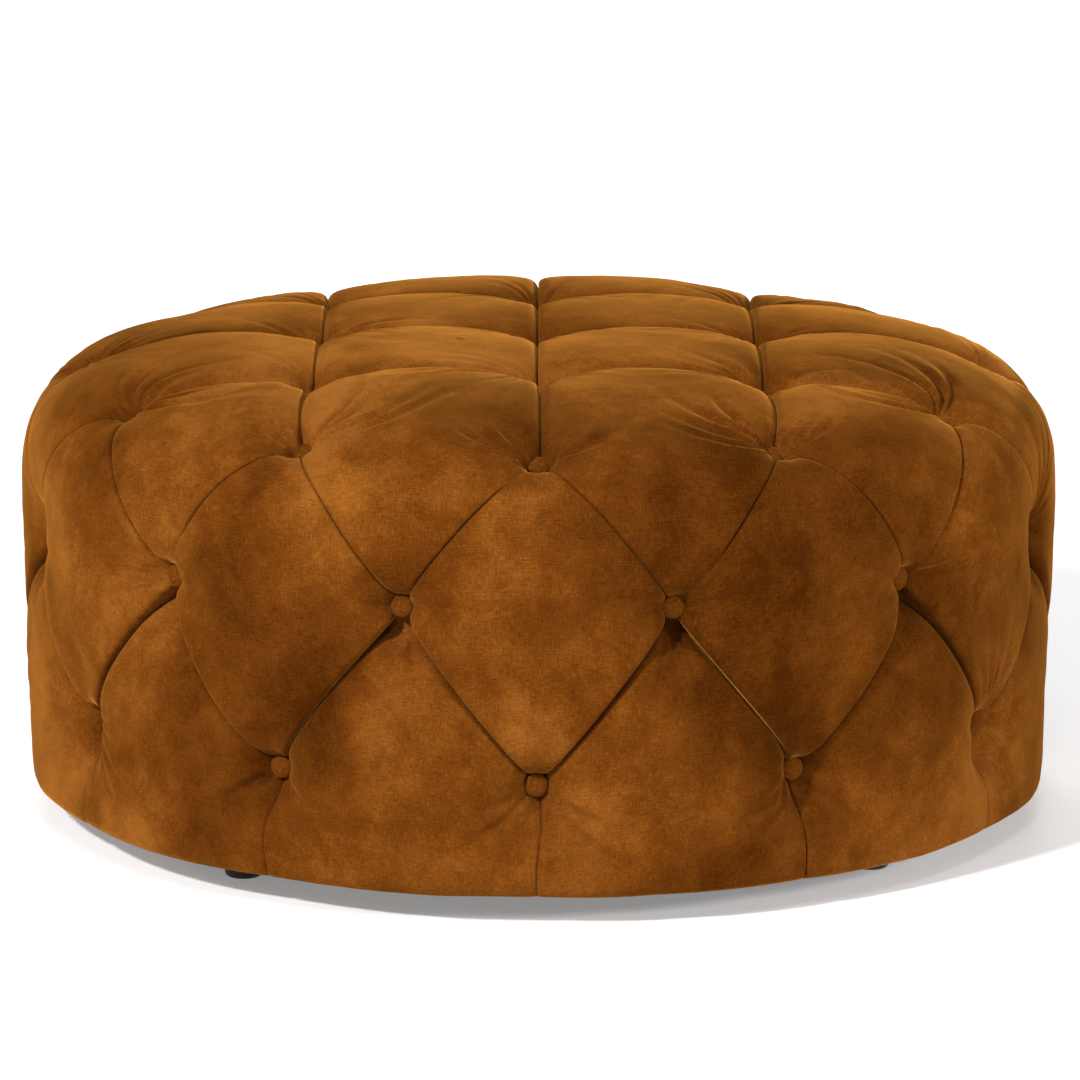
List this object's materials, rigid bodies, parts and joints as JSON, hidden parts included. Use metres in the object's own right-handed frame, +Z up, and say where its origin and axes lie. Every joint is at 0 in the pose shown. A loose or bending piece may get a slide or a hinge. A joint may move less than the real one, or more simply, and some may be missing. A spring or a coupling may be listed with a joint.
{
  "type": "round tufted ottoman",
  "caption": "Round drum ottoman in deep-buttoned amber velvet, pleated from the side over the rim to the top, on low round black feet.",
  "frame": {"origin": "on the floor, under the centre of the drum", "axes": "+Z up; the front, where a lower button faces the viewer, is towards -Y; the top's button grid lies along X and Y"},
  "size_m": [0.9652, 0.9652, 0.457],
  "materials": {
    "velvet": "matte",
    "button_velvet": "matte",
    "foam": "matte",
    "plywood": "matte",
    "fibreboard": "matte",
    "pine": "matte",
    "lining": "matte",
    "foot_plastic": "satin"
  },
  "bodies": {
    "root": {"cover": "velvet", "button_lower_01": "button_velvet", "button_lower_02": "button_velvet", "button_lower_03": "button_velvet", "button_lower_04": "button_velvet", "button_lower_05": "button_velvet", "button_lower_06": "button_velvet", "button_lower_07": "button_velvet", "button_lower_08": "button_velvet", "button_lower_09": "button_velvet", "button_lower_10": "button_velvet", "button_lower_11": "button_velvet", "button_lower_12": "button_velvet", "button_upper_01": "button_velvet", "button_upper_02": "button_velvet", "button_upper_03": "button_velvet", "button_upper_04": "button_velvet", "button_upper_05": "button_velvet", "button_upper_06": "button_velvet", "button_upper_07": "button_velvet", "button_upper_08": "button_velvet", "button_upper_09": "button_velvet", "button_upper_10": "button_velvet", "button_upper_11": "button_velvet", "button_upper_12": "button_velvet", "button_rim_01": "button_velvet", "button_rim_02": "button_velvet", "button_rim_03": "button_velvet", "button_rim_04": "button_velvet", "button_rim_05": "button_velvet", "button_rim_06": "button_velvet", "button_rim_07": "button_velvet", "button_rim_08": "button_velvet", "button_rim_09": "button_velvet", "button_rim_10": "button_velvet", "button_rim_11": "button_velvet", "button_rim_12": "button_velvet", "button_top_01": "button_velvet", "button_top_02": "button_velvet", "button_top_03": "button_velvet", "button_top_04": "button_velvet", "button_top_05": "button_velvet", "button_top_06": "button_velvet", "button_top_07": "button_velvet", "button_top_08": "button_velvet", "button_top_09": "button_velvet", "side_foam": "foam", "top_foam": "foam", "base_panel": "plywood", "top_deck": "plywood", "side_wall": "fibreboard", "post_1": "pine", "post_2": "pine", "post_3": "pine", "post_4": "pine", "foot_1": "foot_plastic", "foot_2": "foot_plastic", "foot_3": "foot_plastic", "foot_4": "foot_plastic", "dust_cover": "lining"}
  },
  "joints": []
}
